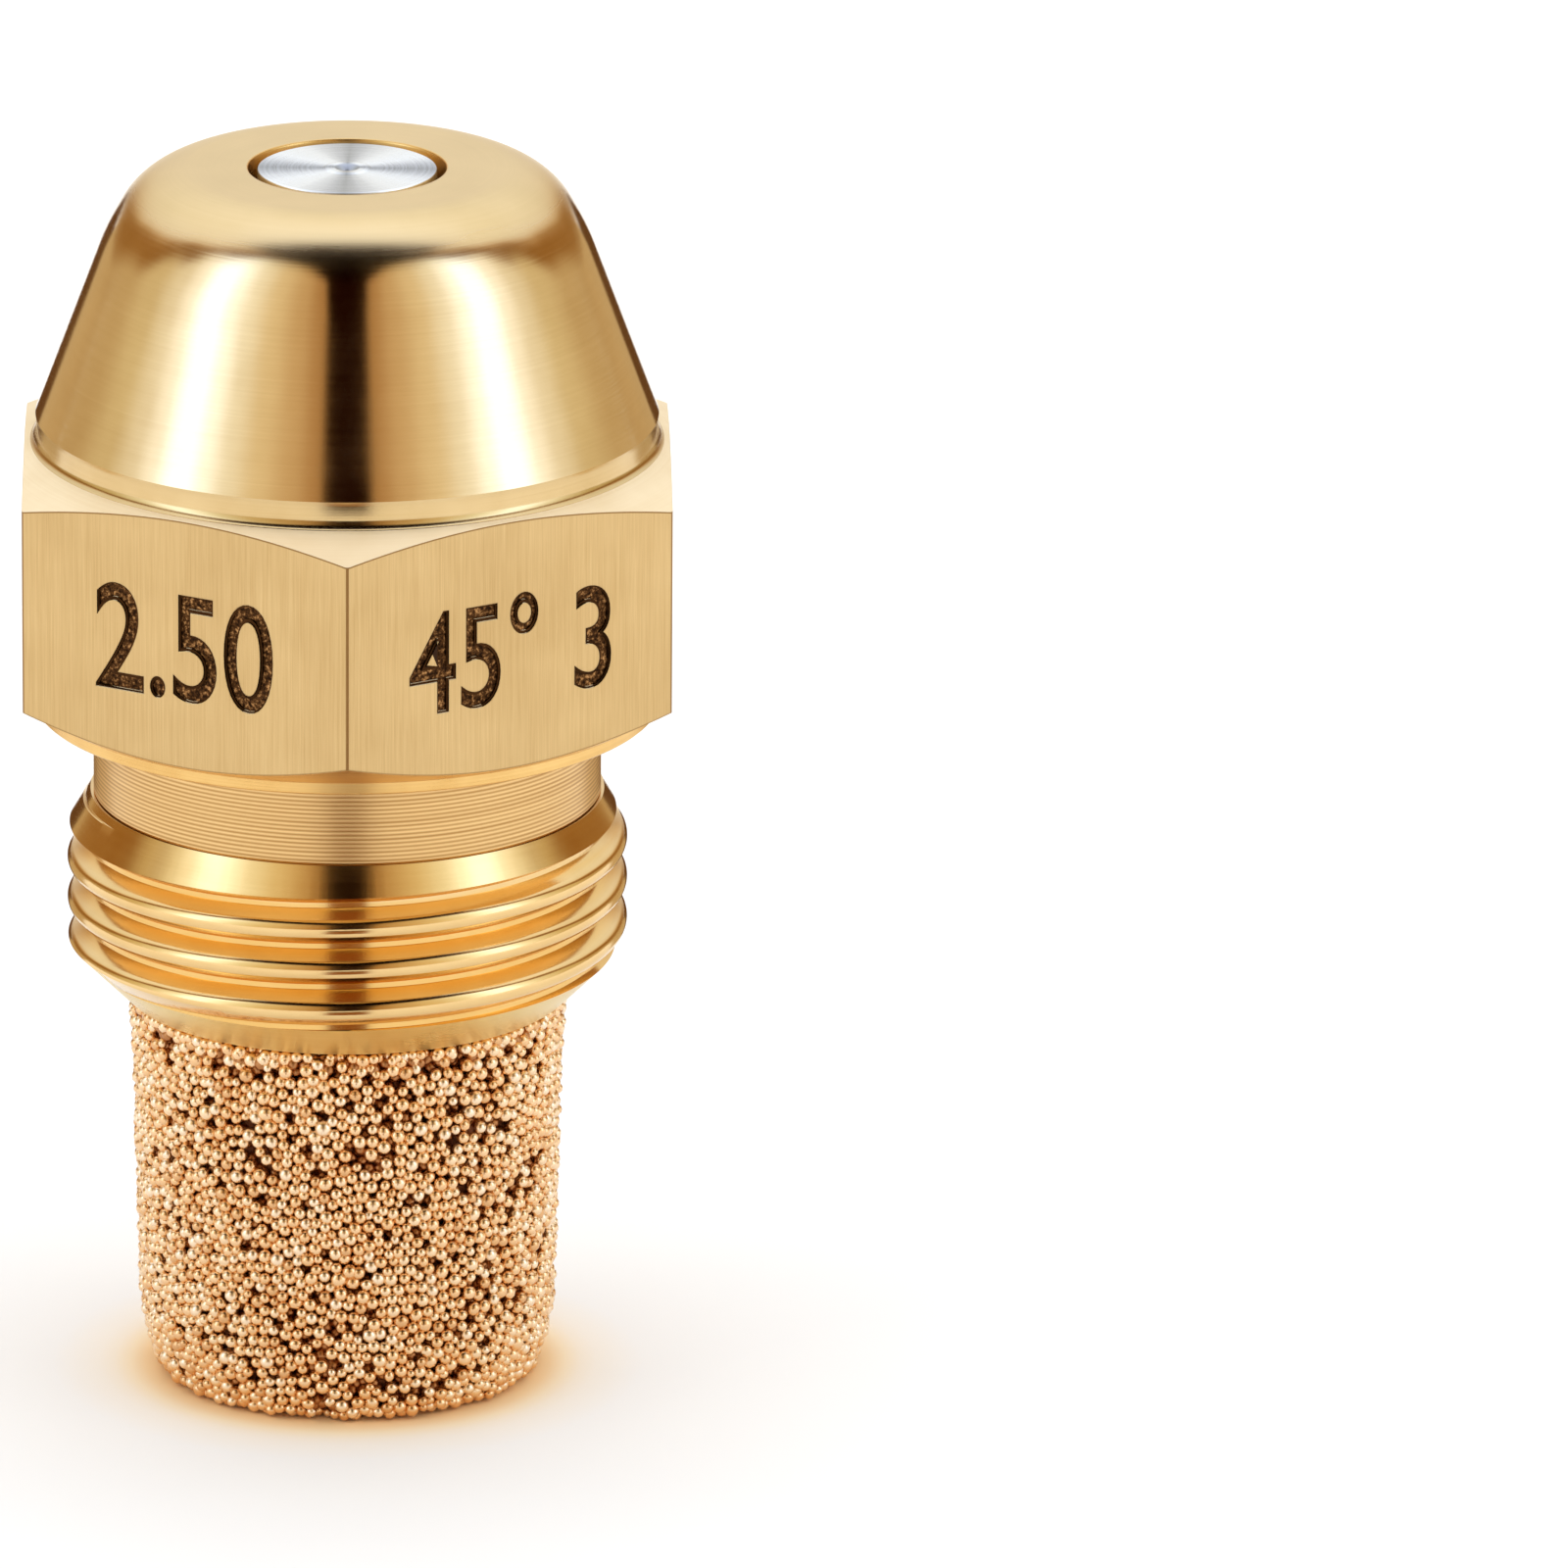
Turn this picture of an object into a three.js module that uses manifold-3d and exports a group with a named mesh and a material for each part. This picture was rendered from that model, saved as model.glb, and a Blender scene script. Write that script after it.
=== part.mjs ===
// Oil burner nozzle with its sintered bronze filter, standing on the filter with the spray end up.
// Units are mm, +Z is up, and z = 0 is the closed end of the filter.
// Radii are given as [radius, height] pairs in each turned profile.
import * as THREE from "three";
import { mergeVertices } from "three/addons/utils/BufferGeometryUtils.js";
import Module from "manifold-3d";

const wasm = await Module();
wasm.setup();

// ---- driving dimensions ----
const HEX_AF = 16;                 // wrench size across flats
const HEX_TOP_Z = 24.27;           // where the hexagon's top chamfer starts
const HEX_TOP_FALL = 20.5;         // degrees the top chamfer falls away
const HEX_BOTTOM_Z = 17.74;        // where the hexagon's bottom chamfer starts
const HEX_BOTTOM_RISE = 29;        // degrees the bottom chamfer rises
const COLLAR_R = 7.7;              // turned collar over the hexagon
const WASHER_FACE_Z = 17.44;       // seating face under the hexagon
const WASHER_FACE_R = 7.78;
const NECK_R = 6.32;               // grooved neck between seating face and thread
const CONE_BASE = [7.72, 24.93];
const SHOULDER_R = 2.06;           // round between the cone and the flat nose
const NOSE_Z = 31.22;
const NOSE_FLAT_R = 3.95;
const MOUTH_R = 2.45;              // opening that shows the orifice disc
const THREAD_PITCH = 25.4 / 24;    // 9/16-24 UNEF
const THREAD_CREST_R = 6.98;
const THREAD_ROOT_R = 6.5;
const THREAD_TOP_Z = 15.16;
const THREAD_TOP_R = 6.4;          // where the thread's top chamfer starts
const THREAD_TOP_FALL = 30.5;      // degrees between that chamfer and the axis
const THREAD_PHASE = 0.685;        // height at which the helix starts, which sets where the crests are seen
const REAR_Z = 9.98;               // rear face of the body
const REAR_R = 5.62;
const REAR_CHAMFER = 1.6;          // 45 degree chamfer up to the thread's crests
const CORE_Z = 14.2;               // the turned core ends here, inside the thread

const SEAT_Z = 29.4;               // inner shoulder that stops the orifice disc
const BORE_R = 3.15;               // plain bore over the inner thread
const INNER_PITCH = 1;             // M7 x 1 retaining thread
const INNER_MINOR_R = 3.15;
const INNER_MAJOR_R = 3.6;
const INNER_TOP_Z = 26.3;
const SOCKET_R = 4.9;              // counterbore for the filter's ferrule
const SOCKET_Z = 14.6;
const LEAD_IN = 0.65;              // chamfer from the counterbore into the inner thread

const DISC_R = 3.08;
const DISC_CHAMFER = 0.15;
const DISC_BOTTOM_Z = 26.95;
const DISC_TOP_Z = 31.19;
const BOSS_R = 2.22;               // the part of the disc that stands in the mouth
const RIM_R = 0.55;                // raised rim round the spray hole
const RIM_H = 0.02;
const ORIFICE_R = 0.12;
const CHAMBER_R = 0.5;             // swirl chamber behind the spray hole
const CHAMBER_Z = 30.15;
const CONE_SEAT_R = 2.3;           // 45 degree seat for the distributor, at its wide end
const CONE_SEAT_Z = 28.35;

const STEM_R = 1.2;                // distributor: stem, head, and the plug with its cone
const STEM_Z = 24.3;
const HEAD_R = 3;
const PLUG_R = 2.2;
const PLUG_CONE_Z = 28.3;
const TIP_R = 0.62;
const SWIRL_SLOT = { long: 3.2, wide: 0.36, low: -0.32, high: 0.5, out: 1.45, aside: 0.45, z: 29 };
const FEED_GROOVE = { deep: 2.4, wide: 0.7, out: 3.2, turn: 40 };

const SCREW_CREST_R = 3.52;
const SCREW_ROOT_R = 3.07;
const SCREW_BOTTOM_Z = 20;
const SCREW_TOP_Z = 25.9;
const SCREW_BORE_R = 1.35;
const DRIVER_SLOT = { wide: 1.1, deep: 1.5 };
const OIL_GROOVE = { wide: 0.8, deep: 0.6 };
const ACROSS = 9;                  // longer than any piece is wide, for cutters that run right across

const FILTER_TOP_Z = 9.95;
const FILTER_INNER_R = 4.2;
const FILTER_FLOOR_Z = 1.35;
const FERRULE_BORE_R = 3.65;
const FERRULE_BOTTOM_Z = 7;
const FERRULE_TOP_Z = 14.3;
const FERRULE_WAIST = [12.15, 12.9];  // heights between which the ferrule is turned down for its snap ring
const CLEARANCE = 0.03;            // gap left between two pieces that touch

const TURN_SEGMENTS = 72;
const BRASS = { color: 0xc9a05c, metalness: 0.9, roughness: 0.3 };
const STEEL = { color: 0xb9bcc0, metalness: 0.95, roughness: 0.25 };
const BRONZE = { color: 0xc59a74, metalness: 0.6, roughness: 0.65 };

// ---- helpers ----
const DEG = Math.PI / 180;

function toSolid(geometry) {
  geometry.deleteAttribute("normal");
  geometry.deleteAttribute("uv");
  const merged = mergeVertices(geometry, 1e-5);
  return new wasm.Manifold(new wasm.Mesh({
    numProp: 3,
    vertProperties: new Float32Array(merged.attributes.position.array),
    triVerts: new Uint32Array(merged.index.array),
  }));
}

// A turned solid. The profile runs anticlockwise round the material: up the outside, down the inside.
function turned(profile, segments = TURN_SEGMENTS) {
  const points = profile.map(([r, z]) => new THREE.Vector2(r, z));
  if (profile[0][0] > 0 || profile.at(-1)[0] > 0) points.push(points[0].clone());
  const geometry = new THREE.LatheGeometry(points, segments);
  geometry.rotateX(Math.PI / 2);
  return toSolid(geometry);
}

const rod = (r, z0, z1, segments = TURN_SEGMENTS) => turned([[0, z0], [r, z0], [r, z1], [0, z1]], segments);

function box(x, y, z0, z1) {
  const geometry = new THREE.BoxGeometry(x, y, z1 - z0);
  geometry.translate(0, 0, (z0 + z1) / 2);
  return toSolid(geometry);
}

// Points of a round that joins two straight runs of a profile.
function arc(cx, cz, r, fromDeg, toDeg, steps) {
  const points = [];
  for (let i = 0; i <= steps; i++) {
    const a = (fromDeg + (toDeg - fromDeg) * i / steps) * DEG;
    points.push([cx + r * Math.cos(a), cz + r * Math.sin(a)]);
  }
  return points;
}

// A right-hand threaded rod. Each pitch has a root flat, a flank, a crest flat and a flank,
// and each row of the grid climbs one pitch per turn.
function threadedRod({ rootR, crestR, pitch, z0, z1, crestFlat, rootFlat, segments, phaseZ = 0 }) {
  const flank = (1 - crestFlat - rootFlat) / 2;
  const stations = [[rootR, 0], [rootR, rootFlat], [crestR, rootFlat + flank], [crestR, 1 - flank]];
  const turns = Math.ceil((z1 - z0) / pitch) + 2;
  const rows = [];
  for (let t = 0; t <= turns; t++) {
    for (const [r, part] of stations) {
      if (t === turns && part > 0) break;
      rows.push([r, z0 + phaseZ + (t - 1.5) * pitch + part * pitch]);
    }
  }
  // The grid is one long strip: segment `segments` of a row meets segment 0 of the row one pitch up.
  const vertices = [];
  const ring = (row, s) => row * segments + s;
  for (const [r, z] of rows) {
    for (let s = 0; s < segments; s++) {
      const a = 2 * Math.PI * s / segments;
      vertices.push(r * Math.cos(a), r * Math.sin(a), z + pitch * s / segments);
    }
  }
  const index = [];
  const perPitch = stations.length;
  const at = (row, s) => s < segments ? ring(row, s) : ring(row + perPitch, 0);
  const lastRow = rows.length - 1 - perPitch;
  for (let row = 0; row < lastRow; row++) {
    for (let s = 0; s < segments; s++) {
      const [a, b, c, d] = [at(row, s), at(row, s + 1), at(row + 1, s + 1), at(row + 1, s)];
      index.push(a, b, c, a, c, d);
    }
  }
  // Closing fans, with the step at the seam as part of each.
  const bottomLoop = [];
  for (let s = 0; s < segments; s++) bottomLoop.push(ring(0, s));
  for (let k = perPitch; k > 0; k--) bottomLoop.push(ring(k, 0));
  const topLoop = [];
  for (let s = 0; s < segments; s++) topLoop.push(ring(lastRow, s));
  for (let k = perPitch; k > 0; k--) topLoop.push(ring(lastRow + k, 0));
  const low = vertices.length / 3;
  vertices.push(0, 0, rows[0][1] - 0.2 * pitch);
  const high = vertices.length / 3;
  vertices.push(0, 0, rows[lastRow][1] + 1.2 * pitch);
  bottomLoop.forEach((v, i) => index.push(low, bottomLoop[(i + 1) % bottomLoop.length], v));
  topLoop.forEach((v, i) => index.push(high, v, topLoop[(i + 1) % topLoop.length]));
  return new wasm.Manifold(new wasm.Mesh({
    numProp: 3,
    vertProperties: new Float32Array(vertices),
    triVerts: new Uint32Array(index),
  }));
}

function addNode(group, name, solid, look) {
  const mesh = solid.getMesh();
  const positions = new Float32Array(mesh.numVert * 3);
  for (let i = 0; i < mesh.numVert; i++) {
    for (let k = 0; k < 3; k++) positions[3 * i + k] = mesh.vertProperties[i * mesh.numProp + k];
  }
  const geometry = new THREE.BufferGeometry();
  geometry.setAttribute("position", new THREE.BufferAttribute(positions, 3));
  geometry.setIndex(new THREE.BufferAttribute(new Uint32Array(mesh.triVerts), 1));
  geometry.computeVertexNormals();
  const node = new THREE.Mesh(geometry, new THREE.MeshStandardMaterial(look));
  node.name = name;
  group.add(node);
}

// ---- nozzle body ----
function nozzleBody() {
  // Shoulder round: its centre lies under the edge of the nose flat.
  const shoulder = arc(NOSE_FLAT_R, NOSE_Z - SHOULDER_R, SHOULDER_R, 20, 90, 6);
  const nose = turned([
    [0, CORE_Z], [NECK_R, CORE_Z], [NECK_R, WASHER_FACE_Z], [WASHER_FACE_R, WASHER_FACE_Z],
    [WASHER_FACE_R, HEX_BOTTOM_Z + 0.2], [WASHER_FACE_R, HEX_TOP_Z - 0.2],
    [COLLAR_R, HEX_TOP_Z + 0.12], [COLLAR_R, CONE_BASE[1] - 0.06],
    CONE_BASE, ...shoulder, [0, NOSE_Z],
  ]);

  // Hexagon with two flats square to X, chamfered by a turned envelope.
  const cornerR = HEX_AF / 2 / Math.cos(30 * DEG);
  const far = cornerR + 1;
  const envelope = turned([
    [0, HEX_BOTTOM_Z], [WASHER_FACE_R, HEX_BOTTOM_Z],
    [far, HEX_BOTTOM_Z + (far - WASHER_FACE_R) * Math.tan(HEX_BOTTOM_RISE * DEG)],
    [far, HEX_TOP_Z - (far - WASHER_FACE_R) * Math.tan(HEX_TOP_FALL * DEG)],
    [WASHER_FACE_R, HEX_TOP_Z], [0, HEX_TOP_Z],
  ]);
  const prism = toSolid(new THREE.CylinderGeometry(cornerR, cornerR, 8, 6).rotateX(Math.PI / 2)
    .translate(0, 0, (HEX_TOP_Z + HEX_BOTTOM_Z) / 2));
  const hexagon = prism.intersect(envelope);

  // Outer thread, chamfered at both ends.
  const clearR = REAR_R + REAR_CHAMFER;
  const threadEnvelope = turned([
    [0, REAR_Z], [REAR_R, REAR_Z], [clearR, REAR_Z + REAR_CHAMFER],
    [clearR, THREAD_TOP_Z - (clearR - THREAD_TOP_R) / Math.tan(THREAD_TOP_FALL * DEG)],
    [THREAD_TOP_R, THREAD_TOP_Z], [0, THREAD_TOP_Z],
  ]);
  const thread = threadedRod({
    rootR: THREAD_ROOT_R, crestR: THREAD_CREST_R, pitch: THREAD_PITCH, z0: REAR_Z, z1: THREAD_TOP_Z,
    crestFlat: 0.3, rootFlat: 0.14, segments: TURN_SEGMENTS, phaseZ: THREAD_PHASE,
  }).intersect(threadEnvelope);

  // Everything bored out from the rear, and the mouth.
  const innerThread = threadedRod({
    rootR: INNER_MINOR_R, crestR: INNER_MAJOR_R, pitch: INNER_PITCH, z0: SOCKET_Z - 0.3, z1: INNER_TOP_Z,
    crestFlat: 0.2, rootFlat: 0.24, segments: 24,
  }).intersect(rod(INNER_MAJOR_R + 1, SOCKET_Z - 0.2, INNER_TOP_Z));
  const bores = turned([
    [0, REAR_Z - 1], [SOCKET_R + 0.25, REAR_Z - 1], [SOCKET_R + 0.25, REAR_Z], [SOCKET_R, REAR_Z + 0.25],
    [SOCKET_R, SOCKET_Z], [INNER_MAJOR_R + 0.1, SOCKET_Z], [INNER_MINOR_R - 0.1, SOCKET_Z + LEAD_IN],
    [INNER_MINOR_R - 0.1, INNER_TOP_Z - 0.1], [BORE_R, INNER_TOP_Z - 0.1], [BORE_R, SEAT_Z],
    [MOUTH_R, SEAT_Z], [MOUTH_R, NOSE_Z - 0.04], [MOUTH_R + 0.54, NOSE_Z + 0.5], [0, NOSE_Z + 0.5],
  ]);
  return nose.add(hexagon).add(thread).subtract(innerThread).subtract(bores);
}

// ---- spray parts ----
function orificeDisc() {
  const stepZ = SEAT_Z - CLEARANCE;
  return turned([
    [CONE_SEAT_R, DISC_BOTTOM_Z], [DISC_R, DISC_BOTTOM_Z], [DISC_R, stepZ - DISC_CHAMFER],
    [DISC_R - DISC_CHAMFER, stepZ], [BOSS_R + 0.06, stepZ], [BOSS_R, SEAT_Z + 0.05],
    [BOSS_R, DISC_TOP_Z - 0.05], [BOSS_R - 0.05, DISC_TOP_Z], [RIM_R, DISC_TOP_Z],
    [RIM_R - 0.05, DISC_TOP_Z + RIM_H], [RIM_R - 0.25, DISC_TOP_Z + RIM_H],
    [ORIFICE_R, DISC_TOP_Z - 0.1], [ORIFICE_R, DISC_TOP_Z - 0.35], [CHAMBER_R, DISC_TOP_Z - 0.73],
    [CHAMBER_R, CHAMBER_Z], [CONE_SEAT_R, CONE_SEAT_Z],
  ]);
}

function swirlDistributor() {
  const tipZ = PLUG_CONE_Z + PLUG_R - TIP_R;
  const headLow = SCREW_TOP_Z + CLEARANCE;
  const headHigh = DISC_BOTTOM_Z - CLEARANCE;
  let solid = turned([
    [0, STEM_Z], [STEM_R - 0.15, STEM_Z], [STEM_R, STEM_Z + 0.15], [STEM_R, headLow],
    [HEAD_R - 0.05, headLow], [HEAD_R, SCREW_TOP_Z + 0.1], [HEAD_R, headHigh - 0.05],
    [HEAD_R - 0.05, headHigh], [PLUG_R, headHigh], [PLUG_R, PLUG_CONE_Z], [TIP_R, tipZ], [0, tipZ],
  ]);
  // Tangential slots that set the oil spinning, cut along the cone, and feed grooves past the head.
  for (let i = 0; i < 3; i++) {
    const slot = box(SWIRL_SLOT.long, SWIRL_SLOT.wide, SWIRL_SLOT.low, SWIRL_SLOT.high)
      .rotate([0, 45, 0])
      .translate([SWIRL_SLOT.out, SWIRL_SLOT.aside, SWIRL_SLOT.z])
      .rotate([0, 0, 120 * i]);
    const feed = box(FEED_GROOVE.deep, FEED_GROOVE.wide, SCREW_TOP_Z - 0.5, PLUG_CONE_Z + 0.1)
      .translate([FEED_GROOVE.out, 0, 0])
      .rotate([0, 0, 120 * i + FEED_GROOVE.turn]);
    solid = solid.subtract(slot).subtract(feed);
  }
  return solid;
}

function retainingScrew() {
  const chamfer = SCREW_CREST_R - SCREW_ROOT_R;
  const clearR = SCREW_CREST_R + 0.05;
  const envelope = turned([
    [0, SCREW_BOTTOM_Z], [SCREW_ROOT_R, SCREW_BOTTOM_Z], [clearR, SCREW_BOTTOM_Z + chamfer],
    [clearR, SCREW_TOP_Z - chamfer], [SCREW_ROOT_R, SCREW_TOP_Z], [0, SCREW_TOP_Z],
  ]);
  let solid = threadedRod({
    rootR: SCREW_ROOT_R, crestR: SCREW_CREST_R, pitch: INNER_PITCH, z0: SOCKET_Z - 0.3, z1: INNER_TOP_Z,
    crestFlat: 0.1, rootFlat: 0.34, segments: 32,
  }).translate([0, 0, -0.05 * INNER_PITCH]).intersect(envelope);
  solid = solid.subtract(rod(SCREW_BORE_R, SCREW_BOTTOM_Z - 1, SCREW_TOP_Z + 1, 48));
  const driver = box(ACROSS, DRIVER_SLOT.wide, SCREW_BOTTOM_Z - 1, SCREW_BOTTOM_Z + DRIVER_SLOT.deep);
  solid = solid.subtract(driver);
  for (const turn of [0, 60, 120]) {
    const groove = box(ACROSS, OIL_GROOVE.wide, SCREW_TOP_Z - OIL_GROOVE.deep, SCREW_TOP_Z + 1);
    solid = solid.subtract(groove.rotate([0, 0, turn]));
  }
  return solid;
}

// ---- filter ----
function filterFerrule() {
  const outerLow = FILTER_INNER_R - CLEARANCE;
  const outerHigh = SOCKET_R - CLEARANCE - 0.02;
  const waistR = SOCKET_R - 0.2;
  const [waistLow, waistHigh] = FERRULE_WAIST;
  return turned([
    [FERRULE_BORE_R, FERRULE_BOTTOM_Z], [outerLow - 0.15, FERRULE_BOTTOM_Z],
    [outerLow, FERRULE_BOTTOM_Z + 0.15], [outerLow, FILTER_TOP_Z + CLEARANCE / 2],
    [outerHigh, FILTER_TOP_Z + 0.3], [outerHigh, waistLow - 0.15],
    [waistR, waistLow], [waistR, waistHigh], [outerHigh, waistHigh + 0.15],
    [outerHigh, FERRULE_TOP_Z - 0.5], [SOCKET_R - 0.35, FERRULE_TOP_Z], [FERRULE_BORE_R, FERRULE_TOP_Z],
  ]);
}

function sinteredFilter() {
  // A cup with a rounded foot and sides that widen slowly to the rim.
  return turned([
    [0, 0], [4.66, 0], [4.9, 0.48], [5.0, 0.87], [5.09, 1.25], [5.2, 1.65], [5.28, 5.1], [5.36, 8.4],
    [5.5, FILTER_TOP_Z - 0.15], [5.45, FILTER_TOP_Z], [FILTER_INNER_R, FILTER_TOP_Z],
    [FILTER_INNER_R, FILTER_FLOOR_Z + 0.5], [FILTER_INNER_R - 0.5, FILTER_FLOOR_Z], [0, FILTER_FLOOR_Z],
  ]);
}

const part = new THREE.Group();
part.name = "oil_burner_nozzle";
addNode(part, "nozzle_body", nozzleBody(), BRASS);
addNode(part, "orifice_disc", orificeDisc(), STEEL);
addNode(part, "swirl_distributor", swirlDistributor(), STEEL);
addNode(part, "retaining_screw", retainingScrew(), BRASS);
addNode(part, "filter_ferrule", filterFerrule(), BRASS);
addNode(part, "sintered_filter", sinteredFilter(), BRONZE);

export default part;
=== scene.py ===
# Looks for the oil burner nozzle. All geometry is in metres, in the frame's own axes.
# Profiles are [radius, height] pairs in millimetres and are scaled when they become meshes.
import math

import bmesh
import bpy
import numpy as np
from mathutils import Matrix, Vector
from mathutils.kdtree import KDTree


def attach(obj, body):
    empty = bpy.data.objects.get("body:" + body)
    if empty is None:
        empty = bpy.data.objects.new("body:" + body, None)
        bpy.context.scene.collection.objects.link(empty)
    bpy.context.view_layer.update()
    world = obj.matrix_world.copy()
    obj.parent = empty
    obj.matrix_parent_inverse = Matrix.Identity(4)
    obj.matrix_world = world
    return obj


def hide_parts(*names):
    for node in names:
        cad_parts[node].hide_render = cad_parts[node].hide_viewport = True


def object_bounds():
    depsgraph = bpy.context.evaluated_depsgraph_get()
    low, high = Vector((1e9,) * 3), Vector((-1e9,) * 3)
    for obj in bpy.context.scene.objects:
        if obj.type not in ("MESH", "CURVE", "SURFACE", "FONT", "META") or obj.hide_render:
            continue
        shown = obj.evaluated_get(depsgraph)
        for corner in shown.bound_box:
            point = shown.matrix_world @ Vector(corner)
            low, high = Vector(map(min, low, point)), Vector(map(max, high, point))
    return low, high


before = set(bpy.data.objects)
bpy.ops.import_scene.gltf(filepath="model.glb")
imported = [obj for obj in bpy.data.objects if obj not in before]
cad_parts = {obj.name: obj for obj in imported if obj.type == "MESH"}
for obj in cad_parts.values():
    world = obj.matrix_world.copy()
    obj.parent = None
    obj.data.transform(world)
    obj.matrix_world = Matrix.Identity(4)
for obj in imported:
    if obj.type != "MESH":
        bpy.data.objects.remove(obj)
CAD_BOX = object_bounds()

MM = 0.001
FINE = 360  # segments round a turned piece
RNG = np.random.default_rng(11)

# Sizes of the body, in mm.
REAR_Z, THREAD_TOP_Z, PITCH = 9.98, 15.16, 25.4 / 24
WASHER_Z, WASHER_R, HEX_LOW_Z, HEX_HIGH_Z = 17.44, 7.78, 17.74, 24.27
HEX_LOW_SLOPE, HEX_HIGH_SLOPE = math.tan(math.radians(29)), math.tan(math.radians(20.5))
NECK_LOW_Z, NECK_HIGH_Z, NECK_STEP = 15.2, WASHER_Z - 0.06, 0.109
NOSE_Z, SHOULDER_R = 31.22, 2.06
RUN_OUT_R, RUN_OUT_DEG, RUN_OUT_IN = 5.5, 34.0, 0.106
EDGE_R = 0.14  # round on the hexagon's corners
CORNER_R = 8 / math.cos(math.radians(30))
CORNER_LINE_R = CORNER_R - EDGE_R / math.cos(math.radians(30)) + EDGE_R * math.cos(math.radians(15))


# ---------------------------------------------------------------- mesh helpers
def add_object(name, verts, faces):
    mesh = bpy.data.meshes.new(name)
    mesh.from_pydata([tuple(v) for v in verts], [], faces)
    mesh.validate()
    obj = bpy.data.objects.new(name, mesh)
    bpy.context.collection.objects.link(obj)
    return obj


def lathe(name, profile, segments=FINE):
    """A closed turned body. The profile is anticlockwise round the material, and may start and end on the axis."""
    pts = [(r * MM, z * MM) for r, z in profile]
    rows, verts = [], []
    for r, z in pts:
        if r < 1e-9:
            rows.append([len(verts)])
            verts.append((0, 0, z))
        else:
            start = len(verts)
            for i in range(segments):
                a = 2 * math.pi * i / segments
                verts.append((r * math.cos(a), r * math.sin(a), z))
            rows.append(list(range(start, start + segments)))
    pairs = list(zip(rows, rows[1:]))
    if pts[0][0] > 1e-9:
        pairs.append((rows[-1], rows[0]))
    faces = []
    for low, high in pairs:
        for i in range(segments):
            j = (i + 1) % segments
            if len(low) == 1 and len(high) == 1:
                continue
            if len(low) == 1:
                faces.append((low[0], high[j], high[i]))
            elif len(high) == 1:
                faces.append((low[i], low[j], high[0]))
            else:
                faces.append((low[i], low[j], high[j], high[i]))
    return add_object(name, verts, faces)


def arc(cx, cz, r, from_deg, to_deg, steps):
    out = []
    for i in range(steps + 1):
        a = math.radians(from_deg + (to_deg - from_deg) * i / steps)
        out.append((cx + r * math.cos(a), cz + r * math.sin(a)))
    return out


def grooves(r, z0, z1, pitch, depth):
    """Fine turning rings along a straight run, from z0 to z1."""
    count = max(1, round(abs(z1 - z0) / pitch))
    step = (z1 - z0) / count
    return [(r - depth * math.sin(math.pi * i / 4) ** 2, z0 + step * i / 4) for i in range(4 * count)]


def face_grooves(z, r0, r1, pitch, depth):
    """Fine turning rings on a flat face, from r0 to r1."""
    count = max(1, round(abs(r1 - r0) / pitch))
    step = (r1 - r0) / count
    out = []
    for i in range(count):
        out += [(r0 + step * i, z), (r0 + step * (i + 0.5), z), (r0 + step * (i + 0.75), z - depth)]
    return out


def threaded_rod(name, stations, pitch, z0, z1, segments, phase=0.0):
    """A right-hand threaded rod. Stations are (radius, part of a pitch), and the grid's rows follow the helix."""
    turns = math.ceil((z1 - z0) / pitch) + 2
    rows = [(r, z0 + phase + (t - 1.5) * pitch + part * pitch) for t in range(turns) for r, part in stations]
    rows.append((stations[0][0], z0 + phase + (turns - 1.5) * pitch))
    n = len(stations)
    verts, faces = [], []
    for r, z in rows:
        for s in range(segments):
            a = 2 * math.pi * s / segments
            verts.append((r * math.cos(a) * MM, r * math.sin(a) * MM, (z + pitch * s / segments) * MM))

    def at(row, s):
        return row * segments + s if s < segments else (row + n) * segments

    last = len(rows) - 1 - n
    for row in range(last):
        for s in range(segments):
            faces.append((at(row, s), at(row, s + 1), at(row + 1, s + 1), at(row + 1, s)))
    bottom = [at(0, s) for s in range(segments)] + [at(k, 0) for k in range(n, 0, -1)]
    top = [at(last, s) for s in range(segments)] + [at(last + k, 0) for k in range(n, 0, -1)]
    low = len(verts)
    verts.append((0, 0, (rows[0][1] - 0.2 * pitch) * MM))
    verts.append((0, 0, (rows[last][1] + 1.2 * pitch) * MM))
    faces += [(low, bottom[(i + 1) % len(bottom)], v) for i, v in enumerate(bottom)]
    faces += [(low + 1, v, top[(i + 1) % len(top)]) for i, v in enumerate(top)]
    return add_object(name, verts, faces)


def box(name, size, centre):
    bm = bmesh.new()
    bmesh.ops.create_cube(bm, size=1)
    bm.transform(Matrix.Translation(Vector(centre) * MM) @ Matrix.Diagonal((*(s * MM for s in size), 1)))
    mesh = bpy.data.meshes.new(name)
    bm.to_mesh(mesh)
    bm.free()
    obj = bpy.data.objects.new(name, mesh)
    bpy.context.collection.objects.link(obj)
    return obj


def combine(target, cutter, operation):
    """Applies a boolean to target and removes the cutter."""
    mod = target.modifiers.new("cut", "BOOLEAN")
    mod.solver = "MANIFOLD"
    mod.operation = operation
    mod.object = cutter
    bpy.context.view_layer.update()
    done = bpy.data.meshes.new_from_object(target.evaluated_get(bpy.context.evaluated_depsgraph_get()))
    target.modifiers.clear()
    old = target.data
    target.data = done
    bpy.data.meshes.remove(old)
    bpy.data.objects.remove(cutter)
    return target


def shade(obj, sharp_deg=28):
    for p in obj.data.polygons:
        p.use_smooth = True
    obj.data.set_sharp_from_angle(angle=math.radians(sharp_deg))


def face_arrays(obj):
    """Centres in mm and normals of an object's faces."""
    n = len(obj.data.polygons)
    centre, normal = np.empty(n * 3), np.empty(n * 3)
    obj.data.polygons.foreach_get("center", centre)
    obj.data.polygons.foreach_get("normal", normal)
    return centre.reshape(-1, 3) / MM, normal.reshape(-1, 3)


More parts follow.
